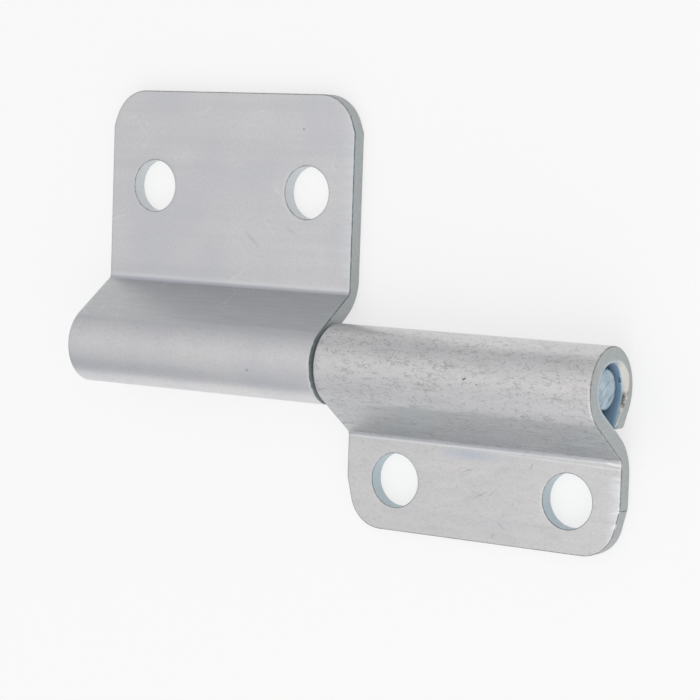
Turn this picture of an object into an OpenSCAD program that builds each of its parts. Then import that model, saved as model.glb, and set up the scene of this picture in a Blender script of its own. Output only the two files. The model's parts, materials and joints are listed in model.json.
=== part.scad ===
// Slip hinge: two curled and offset steel leaves that stand side by side on one plain pin.
// The fixed leaf grips the pin. The slip leaf turns freely on the pin's free half and slides
// off it. The hinge lies on the backs of its leaves, with the knuckles up. All sizes are in
// millimetres. The frame starts on the back of the fixed leaf, midway between its screw holes:
// +X runs along the pin towards its free end, +Y away from the pin, +Z out of the fronts.

/* [Sheet] */
// Thickness of the steel sheet of both leaves
sheet_t = 2; // [1.2:0.1:3]
// Angle between the plates and the offset bend, in degrees
bend_angle = 54.5; // [45:0.5:70]
// Inside radius of the crease between plate and bend
crease_r = 0.8; // [0.3:0.1:2]
// Outside radius of the bend, where the sheet is drawn thin over the tool
bend_back_r = 5.5; // [2.5:0.1:6]

/* [Pin] */
// Diameter of the pin
pin_d = 6; // [4:0.5:10]
// Radial clearance of the pin in the fixed leaf, whose curl grips it
grip_clear = 0.02; // [0.01:0.01:0.05]
// Radial clearance of the pin in the slip leaf, which turns and slides on it
slip_clear = 0.06; // [0.03:0.01:0.3]
// Diameter of the pin's end face after the lead-in taper
lead_in_d = 4.7; // [2:0.1:5.5]
// Length of the lead-in taper at the pin's free end
lead_in_len = 1.2; // [0.4:0.1:3]
// Depth of the pin's free end inside the slip leaf's knuckle
free_end_recess = 0.75; // [0:0.05:5]
// Depth of the pin's other end inside the fixed leaf's knuckle
held_end_recess = 0.3; // [0:0.05:5]
// Bevel round the pin's held end
held_end_bevel = 0.4; // [0.1:0.1:1]

/* [Knuckles] */
// Gap between the two knuckles along the pin
knuckle_gap = 0.5; // [0.2:0.1:2]
// Height of the knuckles' undersides above the plane of the leaves' backs
knuckle_lift = 0.14; // [0:0.02:2]
// Angle of the round part of the curl, in degrees
curl_angle = 266; // [240:1:275]
// Length of the straight end that the curling die leaves, along its outside
tip_len = 2.25; // [0.5:0.25:3]
// Rounding of the straight end's outer edge
tip_r = 0.6; // [0.1:0.1:0.8]
// Slot between the curl's end and the back of the bend
slot = 0.15; // [0.1:0.05:0.8]

/* [Fixed leaf] */
// Length of the fixed leaf along the pin
fixed_len = 38; // [32:0.5:80]
// Distance from the pin's axis to the fixed leaf's outer edge
fixed_w = 32.8; // [28:0.1:60]
// Distance between the fixed leaf's two screw holes
fixed_hole_spacing = 24; // [14:0.5:24]
// Distance from the fixed leaf's outer edge to its hole centres
fixed_hole_edge = 12.2; // [7:0.1:13]

/* [Slip leaf] */
// Length of the slip leaf along the pin
slip_len = 38; // [32:0.5:80]
// Distance from the pin's axis to the slip leaf's outer edge
slip_w = 20; // [19:0.1:50]
// Distance between the slip leaf's two screw holes
slip_hole_spacing = 24; // [14:0.5:24]
// Distance from the slip leaf's outer edge to its hole centres
slip_hole_edge = 6.2; // [5.5:0.1:7]

/* [Screw holes] */
// Diameter of the screw holes
hole_d = 6.6; // [4:0.1:7]

/* [Outer corners] */
// Radius of the fixed leaf's outer corners
fixed_corner_r = 5; // [2:0.1:5.5]
// Angle by which the corner die cuts into the fixed leaf's ends, in degrees
fixed_corner_taper = 20; // [4:1:22]
// Distance from the fixed leaf's outer edge to the kinks where the corner die's cut starts
fixed_corner_reach = 4.6; // [4.5:0.1:7]
// Radius of the slip leaf's outer corners
slip_corner_r = 4.4; // [2:0.1:5.5]
// Angle by which the corner die cuts into the slip leaf's ends, in degrees
slip_corner_taper = 14; // [4:1:22]
// Distance from the slip leaf's outer edge to the kinks where the corner die's cut starts
slip_corner_reach = 6; // [4.5:0.1:7]

/* [Hidden] */
$fn = 96;

// Overshoot that carries a cut clean through a face
over = 1;
// Angle at which an arc crosses the straight stretch it blends into, in degrees
graze = 3;
// Angle by which the straight stretches of the sheet reach into the curl, in degrees
root_angle = 10;
zinc = [0.78, 0.80, 0.82];
zinc_blue = [0.66, 0.72, 0.78];

pin_r = pin_d / 2;
// The wider curl sets the height of the pin's axis above the backs
axis_h = knuckle_lift + sheet_t + pin_r + max(slip_clear, grip_clear);
held_end_x = -knuckle_gap / 2 - fixed_len + held_end_recess;
free_end_x = knuckle_gap / 2 + slip_len - free_end_recess;
fixed_hole_x = -knuckle_gap / 2 - fixed_len / 2;
fixed_hole_y = fixed_w - fixed_hole_edge;

// The unit vector at an angle, and the dot product of two vectors
function dir(a) = [cos(a), sin(a)];
function dot(a, b) = a[0] * b[0] + a[1] * b[1];

// Where the line from p along angle a meets the line from q along angle b
function meet(p, a, q, b) =
    let (side = dir(b + 90))
    p + dir(a) * dot(q - p, side) / dot(dir(a), side);

// The arc of radius r that rounds a corner p, whose edges leave it at angles a and b: its
// centre, and the point where it meets the edge at angle a
function arc_centre(p, a, b, r) = p + dir((a + b) / 2) * r / sin(abs(a - b) / 2);
function arc_end(p, a, b, r) = p + dir(a) * r / tan(abs(a - b) / 2);

// The disc whose edge blends into both edges of the corner
module corner_disc(p, a, b, r) {
    translate(arc_centre(p, a, b, r)) circle(r / cos(graze));
}

// What a rounding takes off the corner
module corner_web(p, a, b, r) {
    difference() {
        polygon([
            p - dir((a + b) / 2) * over,
            arc_end(p, a, b, r), arc_centre(p, a, b, r), arc_end(p, b, a, r)
        ]);
        corner_disc(p, a, b, r);
    }
}

// A leaf's section across the pin, with the plate along +X and its front up. The pin's axis is
// at [0, axis_h]. The sheet comes from the plate, turns up at the crease, runs tangent into the
// curl, goes over the front, round the far side and along the back, and ends beside the bend.
module leaf_section(bore_r, width) {
    outer_r = bore_r + sheet_t;
    mid_r = bore_r + sheet_t / 2;
    graze_depth = mid_r * (1 - cos(graze));
    axis = [0, axis_h];
    // The bend leaves the curl at angle rise, the straight end at angle fall
    rise = 90 - bend_angle;
    fall = rise + curl_angle - 360;
    bend_front = axis + dir(rise) * (outer_r - graze_depth);
    bend_back = axis + dir(rise) * (bore_r - graze_depth);
    tip_front = axis + dir(fall) * (bore_r - graze_depth);
    tip_back = axis + dir(fall) * (outer_r - graze_depth);
    up_bend = 180 - bend_angle;
    tip_dir = fall + 90;
    crease = meet(bend_front, up_bend, [0, sheet_t], 0);
    heel = meet(bend_back, up_bend, [0, 0], 0);
    tip_end = tip_back + dir(tip_dir) * tip_len;
    slot_edge = bend_back - dir(rise) * slot;
    difference() {
        union() {
            // Round part of the curl
            translate(axis) difference() {
                circle(outer_r);
                polygon([
                    [0, 0],
                    for (a = [fall + graze, (fall + rise) / 2, rise - graze]) dir(a) * 2 * outer_r
                ]);
            }
            // Bend and plate
            difference() {
                polygon([
                    bend_back, heel, [width, 0], [width, sheet_t],
                    arc_end(crease, 0, up_bend, crease_r), arc_centre(crease, 0, up_bend, crease_r),
                    arc_end(crease, up_bend, 0, crease_r), bend_front,
                    axis + dir(rise + root_angle) * mid_r
                ]);
                corner_disc(crease, 0, up_bend, crease_r);
                corner_web(heel, 0, up_bend, bend_back_r);
            }
            // Straight end, trimmed along the slot
            difference() {
                polygon([
                    axis + dir(fall - root_angle) * mid_r, tip_back, tip_end,
                    meet(slot_edge, up_bend, tip_end, 90), meet(slot_edge, up_bend, tip_front, tip_dir),
                    tip_front
                ]);
                corner_web(tip_end, tip_dir + 180, 90, tip_r);
            }
        }
        translate(axis) circle(bore_r);
    }
}

// What the corner die cuts off the plate's outer corner at [0, 0]. The plate lies towards +X
// and -Y, and the cut runs from the kink in its side to its outer edge.
module corner_cut(reach, taper, r) {
    side = 270 - taper;
    kink = [0, -reach];
    point = meet(kink, side, [0, 0], 0);
    edge_end = arc_end(point, 360, side, r);
    translate([0, 0, -over]) linear_extrude(sheet_t + 2 * over) difference() {
        polygon([
            kink + dir(side) * over, arc_end(point, side, 360, r), arc_centre(point, side, 360, r),
            edge_end, edge_end + [0, over], [-over, over]
        ]);
        corner_disc(point, side, 360, r);
    }
}

// A leaf of length len on the -X side of the origin plane, with its plate towards +Y. The
// corner is the corner die's reach, taper and radius.
module leaf(bore_r, len, width, hole_spacing, hole_edge, corner) {
    difference() {
        translate([-len, 0, 0]) rotate([90, 0, 90]) linear_extrude(len) leaf_section(bore_r, width);
        translate([-len, width, 0]) corner_cut(corner[0], corner[1], corner[2]);
        translate([0, width, 0]) mirror([1, 0, 0]) corner_cut(corner[0], corner[1], corner[2]);
        for (side = [-1, 1])
            translate([-len / 2 + side * hole_spacing / 2, width - hole_edge, -over])
                cylinder(d = hole_d, h = sheet_t + 2 * over);
    }
}

// Moves the frame's start from the pin's axis to the fixed leaf's screw holes
module in_frame() {
    translate([-fixed_hole_x, -fixed_hole_y, 0]) children();
}

module fixed_leaf() {
    color(zinc) in_frame() translate([-knuckle_gap / 2, 0, 0])
        leaf(
            pin_r + grip_clear, fixed_len, fixed_w, fixed_hole_spacing, fixed_hole_edge,
            [fixed_corner_reach, fixed_corner_taper, fixed_corner_r]
        );
}

// The slip leaf is the same stamping with a shorter plate, turned end for end
module slip_leaf() {
    color(zinc) in_frame() rotate([0, 0, 180]) translate([-knuckle_gap / 2, 0, 0])
        leaf(
            pin_r + slip_clear, slip_len, slip_w, slip_hole_spacing, slip_hole_edge,
            [slip_corner_reach, slip_corner_taper, slip_corner_r]
        );
}

module hinge_pin() {
    color(zinc_blue) in_frame() translate([held_end_x, 0, axis_h]) rotate([0, 90, 0]) {
        cylinder(d1 = pin_d - 2 * held_end_bevel, d2 = pin_d, h = held_end_bevel);
        translate([0, 0, held_end_bevel])
            cylinder(d = pin_d, h = free_end_x - held_end_x - held_end_bevel - lead_in_len);
        translate([0, 0, free_end_x - held_end_x - lead_in_len])
            cylinder(d1 = pin_d, d2 = lead_in_d, h = lead_in_len);
    }
}

fixed_leaf();
slip_leaf();
hinge_pin();
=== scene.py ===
# %% [markdown]
# A slip hinge lies on its back on a pale table. Two leaves of pressed steel sheet sit side by side
# on one plain pin. The left leaf grips the pin. The right leaf turns on it and slides off it.
# The CAD model gives every place and size, and this file gives the look: sheet with rolled and
# sheared edges, bright zinc plating with its clouds and hairlines, and a soft studio light.
# Lengths are in millimetres until a mesh is made, because sheet-metal sizes are thought of so.

# %% Load the CAD frame
import json
import math

import bmesh
import bpy
import numpy as np
from mathutils import Matrix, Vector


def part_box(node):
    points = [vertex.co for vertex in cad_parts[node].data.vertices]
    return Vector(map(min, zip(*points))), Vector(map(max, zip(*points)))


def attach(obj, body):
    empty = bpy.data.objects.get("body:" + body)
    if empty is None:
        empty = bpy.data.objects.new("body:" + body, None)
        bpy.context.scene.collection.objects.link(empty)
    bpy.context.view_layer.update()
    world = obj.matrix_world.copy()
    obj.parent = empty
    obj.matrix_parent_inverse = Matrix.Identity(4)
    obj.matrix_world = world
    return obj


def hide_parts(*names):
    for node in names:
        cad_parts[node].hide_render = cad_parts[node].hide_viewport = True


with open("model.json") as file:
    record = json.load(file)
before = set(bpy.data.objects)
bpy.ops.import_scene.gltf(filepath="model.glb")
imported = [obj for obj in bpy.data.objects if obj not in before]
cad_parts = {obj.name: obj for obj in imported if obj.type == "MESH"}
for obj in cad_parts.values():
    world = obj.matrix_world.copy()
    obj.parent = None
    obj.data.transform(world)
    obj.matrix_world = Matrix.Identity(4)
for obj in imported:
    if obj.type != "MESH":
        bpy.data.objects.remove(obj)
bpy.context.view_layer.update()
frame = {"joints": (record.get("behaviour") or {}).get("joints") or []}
MM = 0.001

# %% [markdown]
# The sizes come from the frame. The pin's axis is where the swing joint is, and each leaf's box
# says how long it is, how far its plate reaches and how thick its curl is outside. Only what a
# box can't say, such as the sheet's thickness and the angle of the bend, is written here.

# %% Read the sizes of the pieces
swing = next(j for j in frame["joints"] if j["name"] == "leaf_swing")
AXIS_Y, AXIS_Z = swing["pos_m"][1] / MM, swing["pos_m"][2] / MM
SHEET = 2.0
BEND_ANGLE = 54.5
CURL_ANGLE = 266.0


def box_mm(node):
    """The lowest and highest corner of a CAD node, in millimetres."""
    low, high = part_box(node)
    return np.array(low) / MM, np.array(high) / MM


fixed_low, fixed_high = box_mm("fixed_leaf")
slip_low, slip_high = box_mm("slip_leaf")
pin_low, pin_high = box_mm("hinge_pin")
LEAF_LENGTH = fixed_high[0] - fixed_low[0]
print("leaf length", round(LEAF_LENGTH, 2), "pin axis at y", AXIS_Y, "z", AXIS_Z)

# %% [markdown]
# A leaf starts as one flat blank. A die bends it at the crease, and another curls its end round
# the pin. So its section across the pin is the same all along, and the leaf could be drawn by
# extruding one flat outline. But a real blank has a roll where the punch went in, and a sharp
# grey wall where it sheared, and those edges catch the light. So the section here is a path of
# points with the direction that points out of the metal at each, and a second step carries the
# path along the pin and rounds it off at both ends.

# %% Straight and round stretches of a path
def heading(degrees):
    """Unit vectors at the given angles: the cosine and the sine of each."""
    radians = np.radians(degrees)
    return np.stack([np.cos(radians), np.sin(radians)], axis=-1)


def straight(start, end, steps, facing):
    """Points start + (end - start) * t for t from 0 to 1, facing one way; the end is left out."""
    t = np.linspace(0, 1, steps, endpoint=False)[:, None]
    points = np.array(start) + (np.array(end) - np.array(start)) * t
    return points, np.repeat(heading(facing)[None], steps, axis=0)


def arc(centre, radius, first, last, steps, inward=False):
    """Points centre + radius * (cos a, sin a), a from first to last; the last one is left out."""
    rays = heading(np.linspace(first, last, steps, endpoint=False))
    return np.array(centre) + radius * rays, -rays if inward else rays


def chain(*pieces):
    """Stretches joined end to end into one path: all points, and all facing directions."""
    return tuple(np.concatenate(parts) for parts in zip(*pieces))


example = chain(straight([0, 0], [9, 0], 3, -90), arc([9, 1], 1, -90, 0, 2))
print("a straight and a round stretch:", np.round(example[0], 2).tolist())

# %% [markdown]
# The section in words: u runs from the pin's axis towards the plate, v runs up from the plane of
# the leaf's back. The plate is low and level, the bend rises from it at 54.5 degrees and runs
# tangent into the curl. A sharp corner between two straight lines is found first, where the
# lines meet, and then rounded.

# %% Corners of the section
RISE = 90 - BEND_ANGLE
FALL = RISE + CURL_ANGLE - 360
UP_BEND, ALONG_TIP = 180 - BEND_ANGLE, FALL + 90
HALF_BEND = math.tan(math.radians(BEND_ANGLE / 2))
AXIS = np.array([0.0, AXIS_Z])


def meet(p, a, q, b):
    """Where the line from p at angle a meets the line from q at angle b.

    With n square to the second line it is p + heading(a) * ((q - p) . n) / (heading(a) . n).
    """
    across = heading(b + 90)
    return p + heading(a) * ((q - p) @ across) / (heading(a) @ across)


def on_curl(radius, angle):
    """The point at a radius and an angle about the pin's axis."""
    return AXIS + radius * heading(angle)


def rounding(start, radius, level):
    """Centre and upper end of the arc where the bend's line through start meets a level.

    Both ends of the arc lie radius * tan(half the bend) from the sharp corner.
    """
    sharp = meet(start, UP_BEND, np.array([0.0, level]), 0)
    centre = sharp + radius * np.array([HALF_BEND, 1.0])
    return centre, sharp + heading(UP_BEND) * radius * HALF_BEND


print("the bend leaves the curl at", RISE, "degrees, the curl's straight end at", FALL)

# %% [markdown]
# The front path goes from the plate into the crease, up the bend, round the outside of the curl
# and down to its straight end. The back path goes the same way on the inside with as many points,
# so that point i of one lies across the sheet from point i of the other: both have 28 points
# before the bend's straight part. The plate's own grid takes over on the flat, past the heel.

# %% Front and back of the section
CREASE_R, HEEL_R = 0.8, 5.5
TIP_LENGTH, TIP_R = 2.25, 0.6
TIP_ROLL = TIP_R * math.tan(math.radians(-FALL / 2))
SLOT = 0.15
INNER_R = 0.15
INNER_CUT = INNER_R * math.tan(math.radians((FALL + 180 - RISE) / 2))
PLATE_START = 10.28
BEND_STEPS, CURL_STEPS, TIP_STEPS = 12, 76, 6


def tip_corners(bore):
    """The straight end's outer corner, the top of its slot side and its inner corner."""
    outer = on_curl(bore + SHEET, FALL) + heading(ALONG_TIP) * TIP_LENGTH
    slot_edge = on_curl(bore, RISE) - heading(RISE) * SLOT
    high = meet(slot_edge, UP_BEND, outer, 90)
    return outer, high, meet(slot_edge, UP_BEND, on_curl(bore, FALL), ALONG_TIP)


def front_path(bore):
    """Level to the crease, an arc down into it, straight up the bend, round the curl, straight."""
    outer = bore + SHEET
    crease_centre, crease_top = rounding(on_curl(outer, RISE), CREASE_R, SHEET)
    opposite_heel = rounding(on_curl(bore, RISE), HEEL_R, 0.0)[1] + heading(RISE) * SHEET
    tip_end = tip_corners(bore)[0] - heading(ALONG_TIP) * TIP_ROLL
    return chain(
        straight([PLATE_START, SHEET], [crease_centre[0], SHEET], 14, 90),
        arc(crease_centre, CREASE_R, -90, -90 - BEND_ANGLE, 10, inward=True),
        straight(crease_top, opposite_heel, 4, RISE),
        straight(opposite_heel, on_curl(outer, RISE), BEND_STEPS, RISE),
        arc(AXIS, outer, RISE, RISE + CURL_ANGLE, CURL_STEPS),
        straight(on_curl(outer, FALL), tip_end, TIP_STEPS, FALL),
    )


def back_path(bore):
    """Level to the heel, an arc up from it, straight along the bend, round the bore, straight."""
    heel_centre, heel_top = rounding(on_curl(bore, RISE), HEEL_R, 0.0)
    inner = tip_corners(bore)[2] - heading(ALONG_TIP) * INNER_CUT
    return chain(
        straight([PLATE_START, 0], [heel_centre[0], 0], 4, -90),
        arc(heel_centre, HEEL_R, -90, -90 - BEND_ANGLE, 24),
        straight(heel_top, on_curl(bore, RISE), BEND_STEPS, RISE + 180),
        arc(AXIS, bore, RISE, RISE + CURL_ANGLE, CURL_STEPS, inward=True),
        straight(on_curl(bore, FALL), inner, TIP_STEPS, FALL + 180),
    )


fixed_bore = fixed_high[2] - AXIS_Z - SHEET
slip_bore = slip_high[2] - AXIS_Z - SHEET
print("bore radii", round(fixed_bore, 3), round(slip_bore, 3))
print("points on the front and back:", len(front_path(slip_bore)[0]), len(back_path(slip_bore)[0]))

# %% [markdown]
# The curl's end is sheared off square and trimmed along the bend, which leaves a narrow slot. Its
# corners are small arcs: one at the outside, one at the nose beside the slot, one at the bore.

# %% The curl's end
NOSE_R = 0.12
NOSE_CUT = NOSE_R * math.tan(math.radians(RISE / 2))


def closing_path(bore):
    """From the front path's end round the outer corner, up, along the slot, into the bore."""
    outer, high, inner = tip_corners(bore)
    out_end = outer - heading(ALONG_TIP) * TIP_ROLL
    in_end = inner - heading(ALONG_TIP) * INNER_CUT
    nose = high - np.array([0, NOSE_CUT])
    slot_start = high + heading(UP_BEND) * NOSE_CUT
    slot_end = inner - heading(UP_BEND) * INNER_CUT
    return chain(
        arc(out_end - heading(FALL) * TIP_R, TIP_R, FALL, 0, 7),
        straight(outer + np.array([0, TIP_ROLL]), nose, 5, 0),
        arc(nose - np.array([NOSE_R, 0]), NOSE_R, 0, RISE, 3),
        straight(slot_start, slot_end, 3, RISE),
        arc(in_end + heading(FALL) * INNER_R, INNER_R, RISE, FALL + 180, 5),
        (in_end[None], heading(FALL + 180)[None]),
    )


print("the closing path has", len(closing_path(slip_bore)[0]), "points")

# %% [markdown]
# Patches of surface are collected and then welded. A patch is an array of points, a list of faces
# and one row of marks per point, which tell the finish where it is: `cut` is 1 on sheared walls,
# `bore` inside the curl and the holes, `bend` on the flat of the offset bend, `burnished` for
# the painted highlights (above 0) along the crease and the plates' ends and the painted shade
# lines (below 0) by the crease, `lip` on the rolled inner rim of a knuckle's end, and `cracked`
# where the sheet's old skin broke up as it was bent.

# %% Patches
MARKS = ("cut", "bore", "bend", "burnished", "lip", "cracked")


def quads(rows, columns):
    """The faces of a grid of rows x columns points, each as four point numbers."""
    number = np.arange(rows * columns).reshape(rows, columns)
    corners = number[:-1, :-1], number[1:, :-1], number[1:, 1:], number[:-1, 1:]
    return np.stack([c.ravel() for c in corners], axis=1).tolist()


def grid_patch(points, **marks):
    """A patch from an array of rows x columns x 3 points; the marks may be numbers or arrays."""
    rows, columns = points.shape[:2]
    table = [np.broadcast_to(marks.get(name, 0.0), (rows, columns)).ravel() for name in MARKS]
    return points.reshape(-1, 3), quads(rows, columns), np.stack(table, axis=1)


print("a grid of 2 x 3 points has the faces", quads(2, 3))

# %% [markdown]
# Two patches that meet have their own copies of the points they share. They could be joined by
# Blender's merge by distance, but here the copies come from the same sums and land on each other,
# so rounding them to a grid and numpy's unique is enough, and it is exact and quick.

# %% Welding
SAME_PLACE = 2e-4


def weld(patches):
    """All patches as one set of points without doubles, with the faces renumbered."""
    points = np.concatenate([p[0] for p in patches])
    marks = np.concatenate([p[2] for p in patches])
    starts = np.cumsum([0] + [len(p[0]) for p in patches])
    faces = [[start + i for i in face] for p, start in zip(patches, starts) for face in p[1]]
    keys = np.round(points / SAME_PLACE).astype(np.int64)
    first, place = np.unique(keys, axis=0, return_index=True, return_inverse=True)[1:]
    place = place.ravel()
    faces = [[int(place[i]) for i in face] for face in faces]
    faces = [[i for n, i in enumerate(face) if i != face[n - 1]] for face in faces]
    return points[first], [face for face in faces if len(face) > 2], marks[first]


strip = grid_patch(np.array([[[0, 0, 0], [1, 0, 0]], [[0, 1, 0], [1, 1, 0]]], dtype=float))
print("a square welded to itself keeps", len(weld([strip, strip])[0]), "points")

# %% [markdown]
# The edge of a sheared sheet has a small roll on both sides here, since the parts are tumbled
# before plating. A quarter circle does it: at turn 0 the point is on the wall and as deep as the
# roll's radius, and at 90 degrees it is on the face and as far in as the radius.

# %% The rolled edge
EDGE_ROLL = 0.16
ROLL_TURNS = np.linspace(0, 90, 5)
ROLL_IN = 1 - heading(ROLL_TURNS)[:, 0]
ROLL_DEEP = 1 - heading(ROLL_TURNS)[:, 1]
ROLL_CUT = heading(ROLL_TURNS)[:, 0] ** 2
WALL_SHARES = np.linspace(0, 1, 6)
WALL_CUT = np.concatenate([ROLL_CUT[::-1], 1 + 0 * WALL_SHARES, ROLL_CUT])[:, None]


def wall_profile(roll):
    """Inset and height of a wall from the front face down to the back, a quarter round at each."""
    inset = roll * np.concatenate([ROLL_IN[::-1], 0 * WALL_SHARES, ROLL_IN])
    sheer = (SHEET - roll) * (1 - WALL_SHARES) + roll * WALL_SHARES
    height = np.concatenate([SHEET - roll * ROLL_DEEP[::-1], sheer, roll * ROLL_DEEP])
    return inset, height[:, None]


END_GAP, HALF_COLUMNS = 0.5, 38


def columns_along(length):
    """Positions along the pin for the middle of a leaf, half a millimetre apart, 0 among them."""
    half = np.linspace(0, length / 2 - END_GAP, HALF_COLUMNS)
    return np.concatenate([-half[:0:-1], half])


print("a wall has", len(WALL_CUT), "points from face to face")
print("a leaf has", len(columns_along(LEAF_LENGTH)), "columns between its ends")

# %% [markdown]
# Now the section is carried along the pin. Each of its points sinks into the metal over the last
# tenths of a millimetre, by the roll it has there, so the ends come out rounded. The flat walls
# that close the ends run straight across the sheet, from a front point to its back point.

# %% Walls at the ends of the curl
def end_walls(points, fronts, backs):
    """At both ends (1 - share) * front point + share * back point, and a cap on the curl's end."""
    patches = []
    for end in (0, -1):
        outer_rim, tip, inner_rim = np.split(points[:, end], [fronts, len(points) - backs])
        share = WALL_SHARES[:, None]
        wall = outer_rim[:, None] * (1 - share) + inner_rim[::-1, None] * share
        cap = np.concatenate([wall[-1], tip[::-1]])
        cap_marks = np.zeros((len(cap), len(MARKS)))
        cap_marks[:, MARKS.index("cut")] = 1.0
        patches += [grid_patch(wall, cut=1.0), (cap, [list(range(len(cap)))], cap_marks)]
    return patches


print("each end has a wall", len(WALL_SHARES), "points across and a cap")

# %% [markdown]
# The grid of the curled part has one row for each point of the section and one column for each
# place along the pin. The same step gives each point its marks: a point is in the bore where it
# faces the axis, the bend's mark fades with the angle away from the bend's own slope, and the
# cracks fade out past the crease, to the share that the flat plate has.

# %% The curled part of a leaf
FACING_AXIS, BORE_REACH = -0.5, 4.6
BEND_FADE = 17
CRACKS_END, CRACKS_FADE, SKIN_CRACKS = 8.9, 0.6, 0.3
CREASE_TOP = 2.4


def joined(ends, between):
    """The columns of one end, the middle ones, and the other end's in their turned order."""
    return np.concatenate([ends[0], between, ends[1][:, ::-1]], axis=1)


def curled_part(length, bore, end_rolls, crease_lines, cracks):
    """Point (i, k) is section point i at place k along the pin, sunk into the metal by its roll."""
    front, closing, back = front_path(bore), closing_path(bore), back_path(bore)
    ring = np.concatenate([front[0], closing[0], back[0][::-1]])
    facing = np.concatenate([front[1], closing[1], back[1][::-1]])
    faces_axis = np.sum((ring - AXIS) * facing, axis=1) < FACING_AXIS
    inside = faces_axis & (ring[:, 0] < BORE_REACH)
    on_front = np.arange(len(ring)) < len(front[0])
    turn = np.abs(np.degrees(np.arctan2(facing[:, 1], facing[:, 0])) - RISE)
    bend = np.clip(1 - turn / BEND_FADE, 0, 1) * on_front
    cracked = cracks * np.clip((CRACKS_END - ring[:, 0]) / CRACKS_FADE, SKIN_CRACKS, 1)
    middle = columns_along(length)
    blank = np.zeros((len(ring), len(middle)))
    rolls = [(side, *end_rolls(side, ring, inside)) for side in (-1, 1)]
    ends = [side * (length / 2 - roll[:, None] * ROLL_IN) for side, roll, _, _ in rolls]
    along = joined(ends, blank + middle)
    depth = joined([sink[:, None] * ROLL_DEEP for _, _, sink, _ in rolls], blank)
    cut = joined([0 * roll[:, None] + ROLL_CUT for _, roll, _, _ in rolls], blank)
    lip = joined([mark[:, None] + 0 * ROLL_CUT for _, _, _, mark in rolls], blank)
    flat = ring[:, None] - facing[:, None] * depth[..., None]
    points = np.concatenate([along[..., None], flat], axis=2)
    by_crease = on_front & (ring[:, 1] < CREASE_TOP)
    # The crease's painted highlight and painted shade lines.
    crease = crease_lines(points[..., 0], points[..., 1]) * by_crease[:, None]
    skin = grid_patch(
        points, cut=cut, lip=lip, burnished=crease,
        bore=inside[:, None], bend=bend[:, None], cracked=cracked[:, None]
    )
    return [skin, *end_walls(points, len(front[0]), len(back[0]))]


print("marks on each point of the curled part:", MARKS)

# %% [markdown]
# A plate is flat with a hole in each half. A grid that runs from the hole's rim out to the
# half's border keeps the rim round: every border point is joined to the point of the rim that
# lies on the same ray from the hole's centre. The outer corners are cut by a corner die, which
# starts at a small kink in the side, tapers inwards and ends in an arc. Its three numbers are
# how far from the outer edge the kink is, the taper in degrees and the arc's radius.

# %% The border of half a plate
FIXED_CORNER, SLIP_CORNER = (4.6, 20, 5.0), (6.0, 14, 4.4)


def plate_border(half, width, corner):
    """Points from the plate's start up the side, round the corner and along the edge to x 0."""
    reach, taper, radius = corner
    tan, sin, cos = (f(math.radians(taper)) for f in (math.tan, math.sin, math.cos))
    kink = np.array([half, width - reach])
    centre = np.array([half - (radius + (reach - radius) * sin) / cos, width - radius])
    side, side_facing = straight([half, PLATE_START], kink, 14, 0)
    cut, cut_facing = straight(kink, centre + radius * heading(taper), 6, taper)
    cut_facing[0] = [1, tan * (1 - cos) / sin]
    corner_arc = arc(centre, radius, taper, 90, 22)
    edge = straight([centre[0], width], [0, width], 26, 90)
    last = np.array([[0.0, width]]), heading(90)[None]
    return chain((side, side_facing), (cut, cut_facing), corner_arc, edge, last)


print("half a plate has", len(plate_border(LEAF_LENGTH / 2, 20, SLIP_CORNER)[0]), "border points")

# %% [markdown]
# The outer wall and the hole's wall have the same profile: a roll, the sheared stretch, a roll.
# It is set back from the border along each border point's own facing direction, and outwards
# from the hole's centre round the hole.

# %% Half a plate
RAY_SHARES = np.array([0, 0.04, 0.12, 0.24, 0.38, 0.52, 0.66, 0.79, 0.9, 0.97, 1])
HOLE_R = 3.3
HOLE_ROLL = 0.14


def in_space(side, flat, height):
    """Points of the plate's plane and their heights as points in space, on one side of x 0."""
    height = np.broadcast_to(height, flat.shape[:-1])
    return np.stack([side * flat[..., 0], flat[..., 1], height], axis=-1)


def half_loop(rolled, width, length):
    """The closed line round half a plate: its border, the middle line down, the plate's start."""
    middle = columns_along(length)
    low = middle[middle >= 0]
    start_line = np.stack([low, np.full(len(low), PLATE_START)], axis=1)
    across = np.linspace(width - EDGE_ROLL, PLATE_START, 30)[1:-1]
    middle_line = np.stack([np.zeros(len(across)), across], axis=1)
    return np.concatenate([rolled, middle_line, start_line, rolled[:1]])


def half_plate(side, length, width, hole, corner, cracks, highlight_strip):
    """Front and back are rim + (border - rim) * share; the walls follow the border and the hole."""
    border, facing = plate_border(length / 2, width, corner)
    loop = half_loop(border - facing * EDGE_ROLL, width, length)
    rays = loop - hole
    rays /= np.linalg.norm(rays, axis=1)[:, None]
    rim = hole + rays * (HOLE_R + HOLE_ROLL)
    share = RAY_SHARES[:, None, None]
    flat = rim * (1 - share) + loop * share
    inset, height = wall_profile(EDGE_ROLL)
    widening, hole_height = wall_profile(HOLE_ROLL)
    wall = border - facing * inset[:, None, None]
    hole_wall = hole + rays * (HOLE_R + widening[:, None, None])
    # A painted highlight strip along one end of the plate.
    bright = highlight_strip(flat, side, length / 2)
    return [
        grid_patch(in_space(side, flat, SHEET), cracked=SKIN_CRACKS * cracks, burnished=bright),
        grid_patch(in_space(side, flat, 0.0), cracked=SKIN_CRACKS * cracks),
        grid_patch(in_space(side, wall, height), cut=WALL_CUT),
        grid_patch(in_space(side, hole_wall, hole_height), cut=WALL_CUT, bore=WALL_CUT),
    ]


print("from a hole's rim to the border there are", len(RAY_SHARES), "points on each ray")

# %% [markdown]
# The patches of a leaf are welded, turned into a mesh with its faces outwards, and the mesh rides
# on its CAD body and stands for its CAD node. The print shows whether the shell is closed: every
# edge of a closed shell belongs to two faces.

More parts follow.
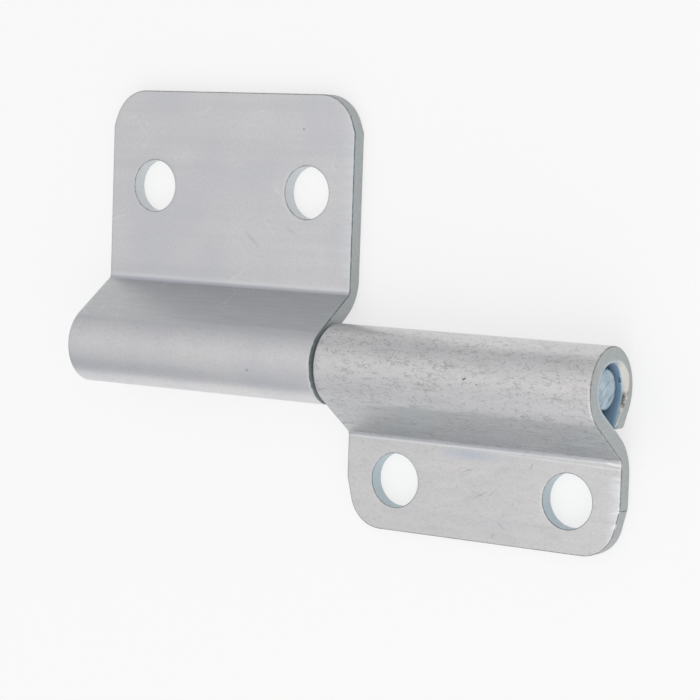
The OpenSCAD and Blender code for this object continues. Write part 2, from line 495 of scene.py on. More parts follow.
# %% Turn patches into a piece
def make_piece(name, points, faces, marks, node):
    """A mesh object at the origin from points in millimetres, with its normals all outwards."""
    mesh = bpy.data.meshes.new(name)
    mesh.from_pydata((points * MM).tolist(), [], faces)
    for label, values in zip(MARKS, marks.T):
        attribute = mesh.attributes.new(label, "FLOAT", "POINT")
        attribute.data.foreach_set("value", values.astype(np.float32))
    work = bmesh.new()
    work.from_mesh(mesh)
    bmesh.ops.recalc_face_normals(work, faces=work.faces)
    open_edges = sum(1 for e in work.edges if len(e.link_faces) != 2)
    volume = work.calc_volume(signed=True) / MM**3
    work.to_mesh(mesh)
    work.free()
    mesh.shade_smooth()
    piece = bpy.data.objects.new(name, mesh)
    bpy.context.scene.collection.objects.link(piece)
    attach(piece, node)
    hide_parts(node)
    print(name, len(points), "points,", open_edges, "open edges,", round(volume, 1), "mm3")
    return piece


HOLE_SPACING = 24.0


def leaf_points(bore, width, hole_from_edge, corner, end_rolls, crease_lines, cracks, highlight_strip):
    """The welded points, faces and marks of a leaf: the curled part and two half plates."""
    hole = np.array([HOLE_SPACING / 2, width - hole_from_edge])
    patches = curled_part(LEAF_LENGTH, bore, end_rolls, crease_lines, cracks)
    for side in (-1, 1):
        patches += half_plate(side, LEAF_LENGTH, width, hole, corner, cracks, highlight_strip)
    return weld(patches)


print("the holes of a leaf are", HOLE_SPACING, "mm apart")

# %% [markdown]
# Along the crease, painted highlights stand for the light that the crease's curve reflects. The
# mark is a bell curve over the distance from the crease. On the slip leaf the crease was struck
# twice: a second painted highlight leaves the first towards the free end, and a painted shade line
# runs just above, which negative numbers stand for. The fixed leaf's faint line has a painted shade
# line too.

# %% Painted highlight and shade lines along the crease, and painted highlight strips
def bell(distance, width):
    """A bell curve: e to the power of minus the square of distance / width."""
    return np.exp(-(distance / width) ** 2)


def soft_crease(x, u):
    """One faint painted highlight line, the same at every x, less a painted shade line just above
    it.
    """
    return 0.4 * bell(u - 8.92, 0.16) - 0.4 * bell(u - 8.5, 0.2)


def struck_crease(x, u):
    """The larger of two painted highlight lines, the second one slanting with x, less a painted
    shade line.
    """
    along = np.clip(-x / (LEAF_LENGTH / 2), 0, 1)
    first = 0.6 * bell(u - 8.85, 0.08)
    second = 0.8 * np.clip(along * 4, 0, 1) * bell(u - 9.05 - 0.4 * along, 0.09)
    return np.maximum(first, second) - 0.5 * bell(u - 8.58, 0.09)


def painted_highlight_strip(highlight_side, width, strength):
    """A painted highlight strip along one end of the plate: strength at the edge, 0 a width away.
    """
    def highlight_strip(flat, side, half):
        reach = np.clip(1 - (half - flat[..., 0]) / width, 0, 1)
        return strength * reach * (side == highlight_side)
    return highlight_strip


print("second line at the free end:", round(float(struck_crease(-18.9, 9.45)), 2))

# %% [markdown]
# The leaves' ends that face each other were rolled over a little more than the others when the
# knuckles were faced. The small arcs round the curl's end bear only a small roll.

# %% Rolls at the ends, and the fixed leaf
GAP_ROLL, NOSE_ROLL = 0.2, 0.09
NOSE_LOW, NOSE_HIGH = (3.2, 1.2), (5.5, 4.6)
FIXED_HOLE_EDGE, FIXED_CRACKS = 12.2, 0.15


def near_nose(ring):
    """Where the section turns round the curl's end: u and v are both between two values."""
    return np.all((ring > NOSE_LOW) & (ring < NOSE_HIGH), axis=1)


def plain_ends(side, ring, inside):
    """How far in and how deep each section point rolls at one end, and its lip's mark: none."""
    roll = np.full(len(ring), GAP_ROLL if side == 1 else EDGE_ROLL)
    roll[ring[:, 0] > NOSE_HIGH[0]] = EDGE_ROLL
    roll[near_nose(ring)] = NOSE_ROLL
    return roll, roll, np.zeros(len(ring))


fixed_width = fixed_high[1] - AXIS_Y
# The fixed leaf's plate has a faint painted highlight strip at its end towards +X.
points, faces, marks = leaf_points(
    fixed_bore, fixed_width, FIXED_HOLE_EDGE, FIXED_CORNER, plain_ends, soft_crease,
    FIXED_CRACKS, painted_highlight_strip(highlight_side=1, width=2.2, strength=0.3)
)
fixed_middle = np.array([(fixed_low[0] + fixed_high[0]) / 2, AXIS_Y, 0])
fixed_sheet = make_piece(
    "fixed_leaf_sheet", points + fixed_middle, faces, marks, "fixed_leaf"
)

# %% [markdown]
# The slip leaf's free end shows a lip: when the knuckle was faced, its inner rim was rolled over
# on the far side, from behind the pin round to the curl's end. So the roll's depth there is read
# from a curve over the angle about the pin, and the lip's mark follows the depth. The leaf is the
# same stamping as the fixed one with a shorter plate, turned half a turn about the upright.

# %% Make the slip leaf
LIP_ANGLES = [190, 212, 250, 276, 302, 345]
LIP_DEPTHS = [0.16, 0.55, 1.15, 0.8, 0.6, 0.12]
SLIP_HOLE_EDGE, SLIP_CRACKS = 6.2, 1.0


def lipped_ends(side, ring, inside):
    """Plain ends, but the roll inside the bore at the free end is as deep as the curve says."""
    roll, sink, lip = plain_ends(side, ring, inside)
    if side == -1:
        angle = np.degrees(np.arctan2(ring[:, 1] - AXIS_Z, ring[:, 0])) % 360
        depth = np.where(inside, np.interp(angle, LIP_ANGLES, LIP_DEPTHS), sink)
        lip = np.where(inside, np.clip((depth - 0.2) / 0.5, 0, 1), 0)
        roll, sink = np.where(inside, 0.1 + 0.4 * depth, roll), depth
    return roll, sink, lip


slip_width = AXIS_Y - slip_low[1]
# The slip leaf's plate has a strong painted highlight strip at its free end, which the half turn
# puts towards +X.
points, faces, marks = leaf_points(
    slip_bore, slip_width, SLIP_HOLE_EDGE, SLIP_CORNER, lipped_ends, struck_crease,
    SLIP_CRACKS, painted_highlight_strip(highlight_side=-1, width=1.9, strength=0.8)
)
slip_middle = np.array([(slip_low[0] + slip_high[0]) / 2, AXIS_Y, 0])
HALF_TURN = [-1.0, -1.0, 1.0]
slip_sheet = make_piece(
    "slip_leaf_sheet", points * HALF_TURN + slip_middle, faces, marks, "slip_leaf",
)

# %% [markdown]
# The pin is a length of drawn wire. Its free end has a lead-in taper that helps the slip leaf
# on. It is a profile turned about the axis: every point of the profile is a distance along the
# pin and a radius, and the grid's second parameter is the turning angle.

# %% Make the pin
PIN_R = (pin_high[2] - pin_low[2]) / 2
LEAD_IN, LEAD_R, HELD_BEVEL = 1.2, 2.35, 0.4
FACE_BEVEL, FACE_INSET, FACE_CROWN = 0.1, 0.12, 0.02
FACE_DEPTH = 0.05


def pin_profile():
    """Distance along the pin and radius, from the held end's centre to the free end's."""
    start, end = pin_low[0], pin_high[0]
    held = np.stack([np.full(6, start), np.linspace(0, PIN_R - HELD_BEVEL, 6)], axis=1)
    shaft_x = np.linspace(start + HELD_BEVEL, end - LEAD_IN, 40)
    shaft = np.stack([shaft_x, np.full(40, PIN_R)], axis=1)
    taper_x = np.linspace(end - LEAD_IN, end - FACE_BEVEL, 6)[1:]
    taper = np.stack([taper_x, np.linspace(PIN_R, LEAD_R, 6)[1:]], axis=1)
    face_r = np.linspace(LEAD_R - FACE_INSET, 0, 16)
    face = np.stack([end - FACE_CROWN * (face_r / LEAD_R) ** 2, face_r], axis=1)
    return np.concatenate([held, shaft, taper, face])


def turned(profile, steps):
    """Point (i, j) is profile point i turned by angle j about the pin's axis."""
    around = heading(np.linspace(0, 360, steps + 1))
    along = np.broadcast_to(profile[:, :1, None], (len(profile), steps + 1, 1))
    rings = profile[:, 1, None, None] * around
    return np.concatenate([along, rings + np.array([AXIS_Y, AXIS_Z])], axis=2)


profile = pin_profile()
on_held_face = profile[:, 0] < pin_low[0] + FACE_DEPTH
at_ends = on_held_face | (profile[:, 0] > pin_high[0] - FACE_DEPTH)
points, faces, marks = weld([grid_patch(turned(profile, 96), cut=at_ends[:, None])])
pin_wire = make_piece("pin_wire", points, faces, marks, "hinge_pin")

# %% [markdown]
# Colours are written as they look on a screen, in sRGB, and turned to the linear numbers that
# the shader counts in. One small function adds a node, sets what is given as a value and links
# what is given as a socket. It hands back one output, by its number or name. The longest names
# and settings that come back all the time get short names of their own.

# %% Helpers for materials
MATH, RANGE, NOISE = "ShaderNodeMath", "ShaderNodeMapRange", "ShaderNodeTexNoise"
TIMES, LARGER = {"operation": "MULTIPLY"}, {"operation": "MAXIMUM"}
STRETCH = {"vector_type": "TEXTURE"}


def paint(code):
    """A hex sRGB colour as linear red, green, blue and 1.

    A value v from 0 to 1 becomes ((v + 0.055) / 1.055) ** 2.4, or v / 12.92 near black.
    """
    value = np.array([int(code[i:i + 2], 16) for i in (1, 3, 5)]) / 255
    linear = np.where(value <= 0.04045, value / 12.92, ((value + 0.055) / 1.055) ** 2.4)
    return (*linear.tolist(), 1.0)


def add(tree, kind, settings, inputs, output=0):
    """Adds a node with its settings, fills its inputs with values or links, returns an output."""
    made = tree.nodes.new(kind)
    for name, value in settings.items():
        setattr(made, name, value)
    for name, value in inputs.items():
        if isinstance(value, bpy.types.NodeSocket):
            tree.links.new(value, made.inputs[name])
        else:
            made.inputs[name].default_value = value
    return made.outputs[output] if made.outputs else made


def per_mm(size):
    """The scale of a pattern whose features are size millimetres wide, on coordinates in metres."""
    return 1000 / size


def new_material(name):
    """A node material and its empty node tree."""
    material = bpy.data.materials.new(name)
    material.use_nodes = True
    material.node_tree.nodes.clear()
    return material, material.node_tree


print("mid grey in linear numbers:", [round(v, 3) for v in paint("#808080")])

# %% [markdown]
# Two features come back all the time. A patchy mask is a noise that is cut off: below one level
# it is weak, above another it is strong. And a finish is built up like paint, a layer at a time:
# each layer is a colour, its strength and the masks that hold it in its place.

# %% Patchy masks and layers of colour
def patchy(tree, coords, size, levels, strengths=(0.0, 1.0), detail=3.0, rough=0.5):
    """Soft blobs size millimetres wide, from the weak to the strong number between two levels."""
    blobs = add(tree, NOISE, {}, {
        "Vector": coords, "Scale": per_mm(size), "Detail": detail, "Roughness": rough
    })
    return add(tree, RANGE, {}, {
        "Value": blobs, "From Min": levels[0], "From Max": levels[1],
        "To Min": strengths[0], "To Max": strengths[1]
    })


def layered(tree, colour, layers):
    """Lays colours over a first one, each as strong as its number times all its masks."""
    for code, share, *masks in layers:
        for mask in masks:
            share = add(tree, MATH, TIMES, {0: mask, 1: share})
        colour = add(tree, "ShaderNodeMix", {"data_type": "RGBA"}, {
            "Factor": share, 6: colour, 7: paint(code)
        }, 2)
    return colour


print("blobs 9 mm wide need the scale", round(per_mm(9.0), 1))

# %% [markdown]
# The sheet is steel with bright zinc plating and a clear blue passivation. It is a metal, so its
# colour is the colour of its reflection, and its roughness says how much that is blurred. The
# finish could be one even grey, but the real one never is, so it starts from where each point of
# the surface is: its place in space, and the marks that the mesh carries. Two stretched copies of
# its place make patterns that are longer along the pin than across it.

# %% Start the sheet's plating
zinc_sheet, plating = new_material("bright_zinc_sheet")
place = add(plating, "ShaderNodeTexCoord", {}, {}, "Object")
at = {
    name: add(plating, "ShaderNodeAttribute", {"attribute_name": name}, {}, "Fac")
    for name in MARKS
}
along_pin = add(plating, "ShaderNodeMapping", STRETCH, {
    "Vector": place, "Scale": (2.5, 1, 1)
})
drawn_out = add(plating, "ShaderNodeMapping", STRETCH, {
    "Vector": place, "Scale": (25, 1, 1)
})
print("the plating knows", list(at))

# %% [markdown]
# The bath leaves soft clouds some millimetres wide, the rolled sheet shows a fine grain, and the
# punch drew faint streaks along the bend. Each is a patchy mask whose size comes from its width
# on the part. Real grain is a few hundredths of a millimetre; 0.4 mm is as fine as shows here.

# %% Clouds, grain and streaks
clouds = patchy(plating, place, 9.0, (0.36, 0.64), detail=3.0, rough=0.4)
grain = add(plating, NOISE, {}, {
    "Vector": place, "Scale": per_mm(0.4), "Detail": 4.0, "Roughness": 0.65
})
fine = add(plating, RANGE, {}, {"Value": grain, "From Min": 0.45, "From Max": 0.72})
streaks = patchy(plating, drawn_out, 0.22, (0.5, 0.7))
rolled_streaks = patchy(plating, drawn_out, 1.6, (0.45, 0.7))
print(len(plating.nodes), "nodes so far")

# %% [markdown]
# Where the sheet was bent, the old rolled skin cracked into a net of hairlines. The edges between
# the cells of a Voronoi texture make such a net. Bending its coordinates with noise keeps the
# lines from being straight, and a patchy mask hides most of them.

# %% Hairlines
def hairlines(tree, coords, size, width, broken):
    """Line = 1 - distance to the net's edges / width in mm, where a noise is above `broken`."""
    wobble = add(tree, NOISE, {}, {
        "Vector": coords, "Scale": per_mm(size * 0.6), "Detail": 3.0
    }, "Color")
    shift = add(tree, "ShaderNodeVectorMath", {"operation": "SCALE"}, {
        0: wobble, "Scale": size * 0.7 * MM
    })
    bent = add(tree, "ShaderNodeVectorMath", {"operation": "ADD"}, {0: coords, 1: shift})
    net = add(tree, "ShaderNodeTexVoronoi", {"feature": "DISTANCE_TO_EDGE"}, {
        "Vector": bent, "Scale": per_mm(size)
    })
    line = add(tree, RANGE, {}, {
        "Value": net, "From Max": width / size, "To Min": 1.0, "To Max": 0.0
    })
    shown = patchy(tree, coords, size * 1.3, (broken, broken + 0.08), detail=4.0, rough=0.7)
    return add(tree, MATH, TIMES, {0: line, 1: shown})


coarse_net = hairlines(plating, along_pin, 0.8, 0.036, 0.49)
fine_net = hairlines(plating, along_pin, 0.4, 0.026, 0.47)
lines = add(plating, MATH, LARGER, {0: coarse_net, 1: fine_net})
lines = add(plating, MATH, TIMES, {0: lines, 1: at["cracked"]})
print("two nets of hairlines:", len(plating.nodes), "nodes so far")

# %% [markdown]
# The bath also leaves tiny dark specks: a Voronoi cell has one centre, and a dot round it is drawn
# in one cell of ten. Handling leaves a few long hair-thin strokes: a net stretched fourteen times.

# %% Specks and strokes
cells = add(plating, "ShaderNodeTexVoronoi", {}, {
    "Vector": place, "Scale": per_mm(1.2)
}, "Distance")
dot = add(plating, RANGE, {}, {
    "Value": cells, "From Min": 0.06, "From Max": 0.14, "To Min": 1.0, "To Max": 0.0
})
lot = add(plating, "ShaderNodeSeparateColor", {}, {"Color": cells.node.outputs["Color"]})
one_in_ten = add(plating, MATH, {"operation": "LESS_THAN"}, {0: lot, 1: 0.1})
strokes = 0.0
for turn, size in ((0.35, 2.7), (-0.9, 3.3)):
    run = add(plating, "ShaderNodeMapping", STRETCH, {
        "Vector": place, "Rotation": (0, 0, turn), "Scale": (14, 1, 1)
    })
    net = add(plating, "ShaderNodeTexVoronoi", {"feature": "DISTANCE_TO_EDGE"}, {
        "Vector": run, "Scale": per_mm(size)
    })
    line = add(plating, RANGE, {}, {
        "Value": net, "From Max": 0.016, "To Min": 1.0, "To Max": 0.0
    })
    shown = patchy(plating, place, size * 1.5, (0.6, 0.68), detail=2.0)
    stroke = add(plating, MATH, TIMES, {0: line, 1: shown})
    strokes = add(plating, MATH, LARGER, {0: stroke, 1: strokes})
print("specks and strokes:", len(plating.nodes), "nodes so far")

# %% [markdown]
# Now the skin's colour, a layer at a time: clouds over the base, a painted lighter tone on the slip
# leaf, grain, painted shade on the bend with its bright streaks, smudges, hairlines and specks, and
# the painted highlights along the crease and the plates' ends with painted shade lines by the
# crease.
# The slip leaf's stronger `cracked` mark picks out both its painted lighter tone and its smudges.

# %% The skin's colour
# The mark's positive part gives the painted highlights, its negative part the painted shade lines.
bright = add(plating, RANGE, {}, {"Value": at["burnished"]})
dark = add(plating, RANGE, {}, {
    "Value": at["burnished"], "From Min": 0.0, "From Max": -1.0
})
# Mostly the slip leaf: a painted lighter tone, standing for the brighter reflection of its skin,
# and its smudges.
painted_sheen_and_wear = add(plating, RANGE, {}, {
    "Value": at["cracked"], "From Min": 0.1, "From Max": 0.3
})
specks_seen = add(plating, RANGE, {}, {
    "Value": at["cracked"], "To Min": 0.15, "To Max": 0.5
})
smudges = patchy(plating, along_pin, 2.0, (0.52, 0.7), detail=6.0, rough=0.75)
uneven = patchy(plating, drawn_out, 0.6, (0.38, 0.55), (0.45, 1.0))
skin = layered(plating, paint("#D8D8DC"), [
    ("#DFDEDF", 1.0, clouds),
    # Painted light: the slip leaf's skin is painted lighter.
    ("#E4E1DE", 0.5, painted_sheen_and_wear),
    ("#C6C8CA", 0.35, fine),
    ("#C9CACE", 0.25, rolled_streaks),
    # Painted shade: the bend's flat is painted greyer, standing for the darker light it reflects.
    ("#BDBFC0", 0.85, at["bend"]),
    ("#DDE1E4", 0.3, streaks, at["bend"]),
    ("#A9A7A8", 0.22, painted_sheen_and_wear, smudges),
    ("#6B6663", 0.46, lines),
    ("#6E6E70", 1.0, dot, one_in_ten, specks_seen),
    ("#F6F6F4", 0.35, strokes),
    # The painted highlights, then the painted shade lines by the crease.
    ("#F8FBFF", 1.0, bright, uneven),
    ("#98A3B6", 0.75, dark),
])
print("the skin's colour:", len(plating.nodes), "nodes so far")

# %% [markdown]
# Sheared walls are greyer than the skin and mirror less. Their rims, where the roll is, stay dark
# and ragged, and beside the gap they get a painted blue-green shade that stands for the shadow in
# the gap between the leaves. The bore and the walls of the slip leaf's holes came out bluer, and
# those of the fixed leaf's holes paler. The lip is bare and pale above and scuffed dark below.

# %% Walls, rims, bore and lip
GAP_SIDE = 1.1
SCUFFS_START, SCUFFS_FULL = -20.8, -21.3
wall_share = add(plating, RANGE, {}, {
    "Value": at["cut"], "From Min": 0.35, "From Max": 0.95
})
skin_share = add(plating, MATH, {"operation": "SUBTRACT"}, {0: 1.0, 1: at["cut"]})
ragged = patchy(plating, place, 0.6, (0.4, 0.6), (2.0, 3.6), detail=4.0, rough=0.6)
rim = add(plating, MATH, TIMES, {0: at["cut"], 1: skin_share})
rim = add(plating, MATH, TIMES, {0: rim, 1: ragged})
parts = add(plating, "ShaderNodeSeparateXYZ", {}, {"Vector": place}).node.outputs
gap_middle = (fixed_high[0] + slip_low[0]) / 2 * MM
beside_gap = add(plating, MATH, {"operation": "COMPARE"}, {
    0: parts["X"], 1: gap_middle, 2: GAP_SIDE * MM
})
on_fixed_leaf = add(plating, MATH, {"operation": "LESS_THAN"}, {0: parts["X"], 1: gap_middle})
deep = add(plating, RANGE, {}, {
    "Value": at["cut"], "From Max": 0.5, "To Min": 1.0, "To Max": 0.0
})
lip_edge = add(plating, RANGE, {}, {
    "Value": at["cut"], "From Min": 0.02, "From Max": 0.3
})
below = add(plating, RANGE, {}, {
    "Value": parts["Y"], "From Min": SCUFFS_START * MM, "From Max": SCUFFS_FULL * MM
})
scuffs = patchy(plating, place, 1.4, (0.38, 0.5), detail=5.0, rough=0.65)
torn_wall = patchy(plating, place, 0.35, (0.35, 0.65), detail=4.0, rough=0.6)
finish = layered(plating, skin, [
    ("#AEB4B5", 1.0, wall_share),
    ("#BBBEBD", 1.0, wall_share, torn_wall),
    ("#C4D1D6", 1.0, wall_share, at["bore"]),
    ("#D9DDDF", 1.0, wall_share, at["bore"], on_fixed_leaf),
    ("#6C6563", 1.0, rim),
    # Painted shade: the rims beside the gap take the dark blue-green of the shadow in the gap.
    ("#56757B", 0.8, rim, beside_gap),
    ("#AFCBE0", 1.0, at["bore"], deep),
    ("#E6E2DC", 1.0, at["lip"], lip_edge),
    ("#57504D", 1.0, at["lip"], lip_edge, below, scuffs),
])
print("walls and rims:", len(plating.nodes), "nodes so far")

# %% [markdown]
# Some marks are single ones: a few dark specks, a pale slanting scrape on the slip leaf's knuckle,
# a tear across its end wall, a painted bluish reflection band below its crease, a pale streak along
# its bend, soft smudges on the plates, white painted highlights at its plate's free edge, and a
# dark painted shadow between the pin and the bottom of its bore at the free end. Each is an
# ellipsoid in the metal's surface, given by its place, its three half sizes and its turn in
# degrees, its strength and its colour, all in the hinge's own frame, so it stays on the part. A
# weak one also fades softly.

# %% Single marks
FADE_START, FADE_END = 0.7, 1.15
SPOTS = [
    ((40.9, -20.35, 10.25), (0.30, 0.12, 0.3), 25, 0.85, "#5A5350"),
    ((42.6, -20.9, 10.2), (0.22, 0.07, 0.3), -20, 0.85, "#77706C"),
    ((30.8, -18.3, 9.7), (0.75, 0.07, 0.8), 70, 0.85, "#F4F2EC"),
    ((30.35, -19.4, 10.1), (0.6, 0.06, 0.5), 66, 0.85, "#ECE9E2"),
    ((30.65, -18.35, 9.7), (0.75, 0.05, 0.8), 70, 0.85, "#989189"),
    ((57.99, -19.64, 10.17), (0.8, 0.1, 0.4), 5, 0.85, "#6E6764"),
    ((34.24, -40.6, 1.2), (0.28, 0.3, 0.45), 0, 0.85, "#3E7FA6"),
    ((57.5, -17.7, 6.0), (0.3, 0.16, 0.16), 0, 0.85, "#B77E3E"),
    ((57.4, -24.9, 3.6), (0.3, 0.2, 0.2), 0, 0.85, "#4FA9C0"),
    ((57.5, -34.9, 1.0), (0.5, 0.07, 1.3), 0, 0.85, "#5D5754"),
    # Painted highlights: white patches at the slip plate's free edge.
    ((57.2, -35.0, 2.0), (0.9, 0.06, 0.3), 12, 0.85, "#FFFFFF"),
    ((56.4, -29.5, 2.0), (1.1, 0.16, 0.4), -8, 0.85, "#FFFFFF"),
    ((56.8, -36.7, 2.0), (0.5, 0.35, 0.4), 30, 0.5, "#FFFFFF"),
    ((38.6, -35.0, 2.0), (1.3, 0.06, 0.3), 30, 0.5, "#8F8A88"),
    ((40.3, -34.5, 2.0), (0.9, 0.05, 0.3), 42, 0.5, "#8F8A88"),
    ((36.9, -32.1, 2.0), (0.9, 0.12, 0.3), 20, 0.4, "#94908F"),
    ((45.6, -30.8, 2.0), (0.5, 0.07, 0.3), 60, 0.6, "#8A8583"),
    ((41.6, -38.2, 2.0), (0.9, 0.1, 0.3), -35, 0.4, "#97928F"),
    ((40.6, -39.6, 2.0), (0.4, 0.12, 0.3), 50, 0.4, "#8A8583"),
    # Painted reflection: a bluish band below the slip leaf's crease.
    ((37.0, -30.3, 2.0), (4.5, 0.8, 0.5), -1, 0.3, "#9DB6D6"),
    ((53.6, -27.3, 4.45), (4.0, 0.1, 0.16), 0, 0.4, "#F4F6F6"),
    ((11.3, 7.86, 2.0), (0.13, 0.13, 0.3), 0, 0.85, "#8C8788"),
    ((3.8, -6.1, 2.0), (1.7, 0.3, 0.4), -42, 0.25, "#A6A6AB"),
    ((9.9, -4.9, 2.0), (1.3, 0.25, 0.4), -30, 0.25, "#A9A9AD"),
    ((9.6, -21.8, 10.1), (0.25, 0.2, 0.3), 0, 0.6, "#9A9187"),
    # Painted shadow: the dark clearance between the pin and the bottom of the bore.
    ((56.8, -20.6, 2.9), (0.6, 0.15, 0.2), 0, 0.85, "#2E363B"),
]
for middle, half_sizes, turn, strength, code in SPOTS:
    local = add(plating, "ShaderNodeMapping", STRETCH, {
        "Vector": place, "Location": [v * MM for v in middle],
        "Rotation": (0, 0, math.radians(turn)), "Scale": [v * MM for v in half_sizes]
    })
    away = add(plating, "ShaderNodeVectorMath", {"operation": "LENGTH"}, {0: local}, "Value")
    within = add(plating, RANGE, {}, {
        "Value": away, "From Min": FADE_START * strength, "From Max": FADE_END,
        "To Min": 1.0, "To Max": 0.0
    })
    finish = layered(plating, finish, [(code, strength, within)])
print(len(SPOTS), "single marks,", len(plating.nodes), "nodes so far")

# %% [markdown]
# Zinc from a bright bath is a soft mirror: a roughness of about 0.4, a little duller on walls and
# rims. Torn walls and the bore, where the passivation is thick, scatter light as well, so they
# are only half metallic. Three bumps chain one after another: waves of the pressed sheet some
# millimetres long, the grain, and the hairlines cut in. Their depths are a few hundredths of a
# millimetre, as on the real sheet.

# %% Gloss and relief
smooth = add(plating, RANGE, {}, {
    "Value": grain, "From Min": 0.3, "From Max": 0.7, "To Min": 0.34, "To Max": 0.46
})
duller = add(plating, MATH, LARGER, {0: rim, 1: wall_share})
rough = add(plating, MATH, {"operation": "MULTIPLY_ADD"}, {0: duller, 1: 0.16, 2: smooth})
waves = add(plating, NOISE, {}, {
    "Vector": place, "Scale": per_mm(5.0), "Detail": 2.0
})
relief = add(plating, "ShaderNodeBump", {}, {
    "Height": waves, "Strength": 0.25, "Distance": 0.05 * MM
})
relief = add(plating, "ShaderNodeBump", {}, {
    "Height": grain, "Strength": 0.2, "Distance": 0.03 * MM, "Normal": relief
})
relief = add(plating, "ShaderNodeBump", {"invert": True}, {
    "Height": lines, "Strength": 0.3, "Distance": 0.02 * MM, "Normal": relief
})
dull = add(plating, MATH, LARGER, {0: wall_share, 1: at["bore"]})
metal = add(plating, RANGE, {}, {"Value": dull, "To Min": 1.0, "To Max": 0.5})
shader = add(plating, "ShaderNodeBsdfPrincipled", {}, {
    "Base Color": finish, "Roughness": rough, "Normal": relief, "Metallic": metal
})
add(plating, "ShaderNodeOutputMaterial", {}, {"Surface": shader})
for piece in (fixed_sheet, slip_sheet):
    piece.data.materials.append(zinc_sheet)
print(len(plating.nodes), "nodes in the sheet's plating")

# %% [markdown]
# The pin is cold-drawn wire under the same plating, but its passivation came out bluer. Its end
# was cropped, which left slanting tear lines across the face, so a strongly stretched noise
# gives the face its pale tears and dark pits. The shaft and lead-in are painted darker than the
# face, a painted shade that stands for the shadow in the clearance round the pin.

# %% Blue zinc on the pin
zinc_wire, wire = new_material("blue_zinc_wire")
on_wire = add(wire, "ShaderNodeTexCoord", {}, {}, "Object")
slanting = add(wire, "ShaderNodeMapping", STRETCH, {
    "Vector": on_wire, "Rotation": (-0.95, 0, 0), "Scale": (1, 6, 1)
})
lengthwise = add(wire, "ShaderNodeMapping", STRETCH, {
    "Vector": on_wire, "Scale": (30, 1, 1)
})
tears = add(wire, NOISE, {}, {
    "Vector": slanting, "Scale": per_mm(0.35), "Detail": 4.0, "Roughness": 0.6
})
torn = add(wire, RANGE, {}, {"Value": tears, "From Min": 0.52, "From Max": 0.7})
pitted = add(wire, RANGE, {}, {"Value": tears, "From Min": 0.42, "From Max": 0.34})
face = add(wire, "ShaderNodeAttribute", {"attribute_name": "cut"}, {}, "Fac")
off_face = add(wire, MATH, {"operation": "SUBTRACT"}, {0: 1.0, 1: face})
tone = layered(wire, paint("#9BAFBC"), [
    ("#B9C8D2", 1.0, patchy(wire, on_wire, 1.1, (0.38, 0.62), detail=4.0)),
    ("#DCE6EC", 0.6, torn),
    ("#566670", 0.7, pitted),
    # Painted shade: the shaft and lead-in are darker than the face.
    ("#8495A1", 0.7, off_face),
])
print("the wire's colour has", len(wire.nodes), "nodes")

# %% [markdown]
# The tears are also cut into the face. Drawing the wire through its die left fine lines all along
# it: real ones are some hundredths of a millimetre wide, and 0.25 mm is as fine as shows here.
# The whole pin is metal, so that one number is set on the shader itself.

# %% Gloss and relief of the pin
drawn_lines = add(wire, NOISE, {}, {
    "Vector": lengthwise, "Scale": per_mm(0.25), "Detail": 2.0
})
relief = add(wire, "ShaderNodeBump", {}, {
    "Height": tears, "Strength": 0.5, "Distance": 0.06 * MM
})
relief = add(wire, "ShaderNodeBump", {}, {
    "Height": drawn_lines, "Strength": 0.15, "Distance": 0.02 * MM, "Normal": relief
})
rough = add(wire, RANGE, {}, {
    "Value": tears, "From Min": 0.3, "From Max": 0.7, "To Min": 0.32, "To Max": 0.45
})
shader = add(wire, "ShaderNodeBsdfPrincipled", {}, {
    "Base Color": tone, "Roughness": rough, "Normal": relief, "Metallic": 1.0
})
add(wire, "ShaderNodeOutputMaterial", {}, {"Surface": shader})
pin_wire.data.materials.append(zinc_wire)
print(len(wire.nodes), "nodes in the pin's plating")

# %% [markdown]
# The table is a plain pale sheet. It keeps the hinge's soft shadow, and for the eye and for
# reflections it is lifted towards white, which puts no more light on the hinge.

# %% The table's surface
WHITE_SHARE = 0.68
pale_table, card = new_material("pale_table")
matt = add(card, "ShaderNodeBsdfDiffuse", {}, {"Color": paint("#F4F4F3")})
glow = add(card, "ShaderNodeEmission", {}, {"Color": paint("#FFFFFF"), "Strength": 1.0})
path = add(card, "ShaderNodeLightPath", {}, {}).node.outputs
seen = add(card, MATH, LARGER, {0: path["Is Camera Ray"], 1: path["Is Glossy Ray"]})
seen = add(card, MATH, LARGER, {0: seen, 1: path["Is Transmission Ray"]})
share = add(card, MATH, TIMES, {0: seen, 1: WHITE_SHARE})
mixed = add(card, "ShaderNodeMixShader", {}, {0: share, 1: matt, 2: glow})
add(card, "ShaderNodeOutputMaterial", {}, {"Surface": mixed})
print("the table is", WHITE_SHARE, "of the way to white")

# %% [markdown]
# The table is one flat square, far wider than any view of the hinge, and level with the backs of
# the leaves.

# %% The table
REACH = 3.0
corners = [(-REACH, -REACH, 0), (REACH, -REACH, 0), (REACH, REACH, 0), (-REACH, REACH, 0)]
table_mesh = bpy.data.meshes.new("table")
table_mesh.from_pydata(corners, [], [(0, 1, 2, 3)])
table_mesh.materials.append(pale_table)
table = bpy.data.objects.new("table", table_mesh)
bpy.context.scene.collection.objects.link(table)
print("the table is", 2 * REACH, "m wide")

# %% [markdown]
# Plated metal shows what is round it. A sky that is bright overhead and dimmer and bluer near
# the horizon gives the flat plates their light tone and lets the bends and the knuckles' sides go
# darker, as they do in a light tent with its softbox on top. The tent leans a little towards the
# knuckles' far side, so its brightest part is not quite overhead, and on the near side it is
# paler down to the horizon, where its opening lets in the light of the room.

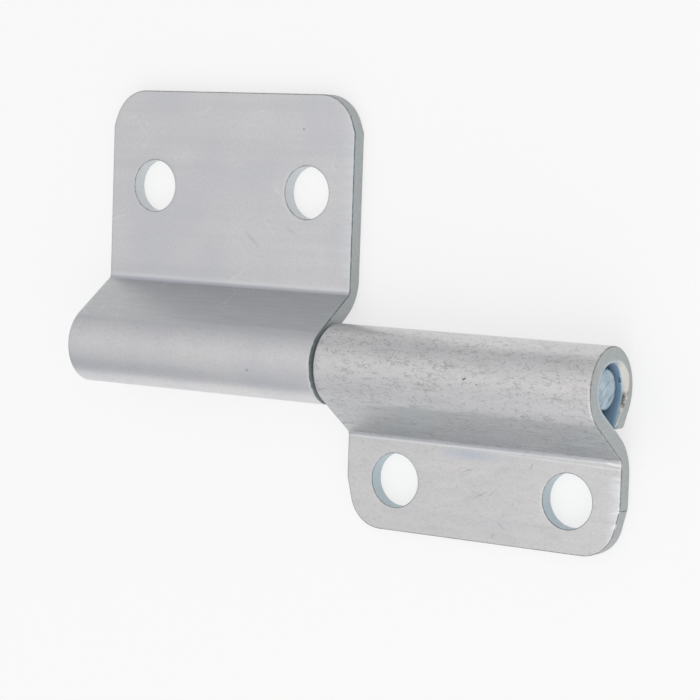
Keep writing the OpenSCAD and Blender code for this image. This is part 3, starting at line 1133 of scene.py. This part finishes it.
# %% The sky
SKY = [
    (0.0, "#8F9299"), (0.2, "#A6A9AF"), (0.36, "#C6C8CB"), (0.55, "#D4D5D7"),
    (0.77, "#D9D9DA"), (0.86, "#F0F0F0"), (1.0, "#FFFFFF"),
]
TENT_UP, TENT_OPENING = (0.0, 0.2, 1.0), (0.0, -0.3, 0.0)
world = bpy.data.worlds.new("soft_sky")
world.use_nodes = True
world.node_tree.nodes.clear()
tent = world.node_tree
direction = add(tent, "ShaderNodeTexCoord", {}, {}, "Generated")
height = add(tent, "ShaderNodeVectorMath", {"operation": "DOT_PRODUCT"}, {
    0: direction, 1: TENT_UP
}, "Value")
opening = add(tent, "ShaderNodeVectorMath", {"operation": "DOT_PRODUCT"}, {
    0: direction, 1: TENT_OPENING
}, "Value")
height = add(tent, MATH, LARGER, {0: height, 1: opening})
ramp = add(tent, "ShaderNodeValToRGB", {}, {"Fac": height}, "Color")
steps = ramp.node.color_ramp.elements
for position, code in SKY[1:-1]:
    steps.new(position)
for step, (position, code) in zip(steps, SKY):
    step.position = position
    step.color = paint(code)
light = add(tent, "ShaderNodeBackground", {}, {"Color": ramp, "Strength": 1.0})
add(tent, "ShaderNodeOutputWorld", {}, {"Surface": light})
bpy.context.scene.world = world
print("the sky has", len(steps), "steps from horizon to overhead")

# %% [markdown]
# One large square lamp adds the direction of the shadow. Sky and lamp together light a level
# surface about as strongly as white is written. A lamp and a camera both look along their own
# -Z, so both are placed by three directions: right, up and back.

# %% The lamp
def stand(side, up, back, place):
    """The matrix whose columns are right, up, back and the place."""
    return Matrix([[side[i], up[i], back[i], place[i]] for i in range(3)] + [[0, 0, 0, 1]])


LAMP_PLACE, LAMP_AIM = np.array([0.30, -0.68, 0.52]), np.array([0.02, -0.015, 0.0])
LAMP_WIDTH, LAMP_WATTS = 1.3, 4.5
LAMP_UPRIGHT = [0, 1, 0.01]
softbox = bpy.data.lights.new("softbox", "AREA")
softbox.size = LAMP_WIDTH
softbox.energy = LAMP_WATTS
lamp = bpy.data.objects.new("softbox", softbox)
bpy.context.scene.collection.objects.link(lamp)
lamp_distance = np.linalg.norm(LAMP_PLACE - LAMP_AIM)
lamp_back = (LAMP_PLACE - LAMP_AIM) / lamp_distance
lamp_side = np.cross(LAMP_UPRIGHT, lamp_back)
lamp_side /= np.linalg.norm(lamp_side)
lamp.matrix_world = stand(lamp_side, np.cross(lamp_back, lamp_side), lamp_back, LAMP_PLACE)
print("the lamp hangs", round(float(lamp_distance), 2), "m away")

# %% [markdown]
# The camera stands where the photograph was taken from, up and to the right of the hinge, with a
# long lens. Its place and its three directions were worked out from the outline of the leaves.

# %% The camera
CAMERA_PLACE = np.array([192.6, 6.6, 258.2]) * MM
CAMERA_BACK = np.array([0.5584, 0.0825, 0.8255])
CAMERA_UP = np.array([-0.0742, 0.996, -0.0494])
FOCAL_PIXELS, FRAME_PIXELS, SENSOR = 2525.9, 700, 36.0
camera_data = bpy.data.cameras.new("camera")
camera_data.sensor_width = SENSOR
camera_data.lens = FOCAL_PIXELS / FRAME_PIXELS * SENSOR
camera_data.clip_start, camera_data.clip_end = 0.01, 10
camera = bpy.data.objects.new("camera", camera_data)
bpy.context.scene.collection.objects.link(camera)
back = CAMERA_BACK / np.linalg.norm(CAMERA_BACK)
right = np.cross(CAMERA_UP, back)
right /= np.linalg.norm(right)
camera.matrix_world = stand(right, np.cross(back, right), back, CAMERA_PLACE)
bpy.context.scene.camera = camera
bpy.context.scene.view_settings.view_transform = "Standard"
print("lens", round(camera_data.lens, 1), "mm")
